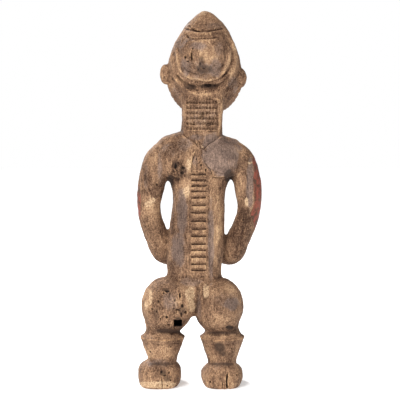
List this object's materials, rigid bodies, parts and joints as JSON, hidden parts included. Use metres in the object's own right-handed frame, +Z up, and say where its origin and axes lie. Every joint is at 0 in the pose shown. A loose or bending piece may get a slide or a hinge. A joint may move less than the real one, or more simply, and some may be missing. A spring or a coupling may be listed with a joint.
{
  "type": "carved wooden ancestor figure",
  "caption": "Carved wooden standing figure with a pointed cap, a notched spine, bent arms with hands on the belly, round buttocks and ringed calves; it stands on its own feet.",
  "frame": {"origin": "on the floor, under the middle of the figure's width and depth", "axes": "+Z up, the figure faces -Y, +X is its own left"},
  "size_m": [0.1666, 0.107, 0.4998],
  "materials": {
    "wood": "dry weathered brown wood with dark handled patches, tan wear, pale chips and a trace of red pigment on the arms"
  },
  "bodies": {
    "root": {"ancestor_figure": "wood"}
  },
  "joints": []
}
